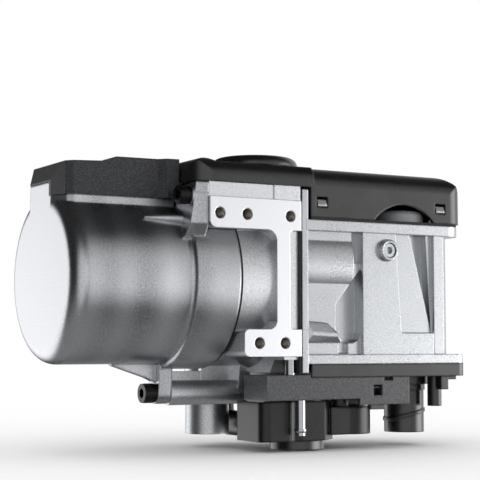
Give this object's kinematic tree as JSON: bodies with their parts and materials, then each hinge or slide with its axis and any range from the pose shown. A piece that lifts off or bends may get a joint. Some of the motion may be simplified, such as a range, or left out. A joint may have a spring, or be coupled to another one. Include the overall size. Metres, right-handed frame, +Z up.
{
  "type": "coolant parking heater",
  "caption": "Fuel-fired coolant heater: finned heat exchanger pot, burner casting with drilled bracket face, blower housing with electronics lid, coolant pump, exhaust and air spigots.",
  "frame": {"origin": "middle of the outer two upper bracket holes, on the machined bracket face", "axes": "+X along the heat exchanger toward the blower end, +Y from the bracket face into the heater, +Z up, away from the pump"},
  "size_m": [0.2155, 0.1022, 0.1412],
  "materials": {
    "cast_aluminium": "blasted die-cast",
    "finned_aluminium": "as cast",
    "black_rubber": "matt",
    "graphite_gasket": "matt",
    "black_oxide_steel": "black oxide",
    "zinc_steel": "zinc plated",
    "aluminised_steel": "satin",
    "heat_resistant_steel": "heat tinted",
    "metal_fibre": "matt fibre",
    "bright_steel": "polished",
    "motor_steel": "satin",
    "ferrite": "matt",
    "sintered_bronze": "matt",
    "copper": "bare",
    "moulded_black_plastic": "satin",
    "grained_black_plastic": "grained",
    "glass_filled_plastic": "matt",
    "circuit_board": "solder mask",
    "component_black": "matt",
    "brass": "turned"
  },
  "bodies": {
    "heater": {"heat_exchanger_shell": "cast_aluminium", "heat_exchanger_core": "finned_aluminium", "heat_exchanger_seal": "black_rubber", "lug_screws": "black_oxide_steel", "burner_head": "cast_aluminium", "exhaust_tube": "aluminised_steel", "combustion_tube": "heat_resistant_steel", "burner_insert": "heat_resistant_steel", "evaporator_mat": "metal_fibre", "glow_plug": "bright_steel", "fuel_feed_tube": "bright_steel", "fuel_nipple": "bright_steel", "blower_gasket": "graphite_gasket", "flange_screws": "zinc_steel", "blower_housing": "cast_aluminium", "front_screw": "zinc_steel", "blower_motor_can": "motor_steel", "blower_magnets": "ferrite", "brush_plate": "glass_filled_plastic", "blower_bearings": "sintered_bronze", "base_plate": "moulded_black_plastic", "base_screws": "zinc_steel", "air_intake_spigot": "moulded_black_plastic", "vent_pipe": "moulded_black_plastic", "cable_clip": "moulded_black_plastic", "lid_seal": "black_rubber", "control_lid": "moulded_black_plastic", "sensor_cover": "grained_black_plastic", "vent_cap": "black_rubber", "control_board": "circuit_board", "board_parts": "component_black", "harness_header": "moulded_black_plastic", "temperature_sensor": "brass", "overheat_sensor": "component_black", "pump_bracket": "moulded_black_plastic", "pump_housing": "glass_filled_plastic", "pump_can": "motor_steel", "pump_stator": "copper", "pump_motor_cover": "moulded_black_plastic", "pump_cap": "moulded_black_plastic", "pump_seal": "black_rubber", "pump_screws": "zinc_steel", "coolant_inlet_spigot": "glass_filled_plastic", "coolant_outlet_spigot": "glass_filled_plastic", "outlet_retainer": "zinc_steel", "retainer_screw": "zinc_steel", "coolant_link_pipe": "glass_filled_plastic", "link_seals": "black_rubber"},
    "blower_rotor": {"blower_shaft": "bright_steel", "armature_core": "motor_steel", "armature_windings": "copper", "commutator": "copper", "blower_impeller": "glass_filled_plastic"},
    "pump_rotor": {"pump_shaft": "bright_steel", "pump_rotor": "glass_filled_plastic"}
  },
  "joints": [
    {"name": "blower_spin", "type": "hinge", "parent": "heater", "child": "blower_rotor", "pos_m": [0.086, 0.04, -0.03], "axis": [0, 0, 1], "continuous": true},
    {"name": "pump_spin", "type": "hinge", "parent": "heater", "child": "pump_rotor", "pos_m": [0.038, 0.026, -0.095], "axis": [0, 0, 1], "continuous": true}
  ]
}
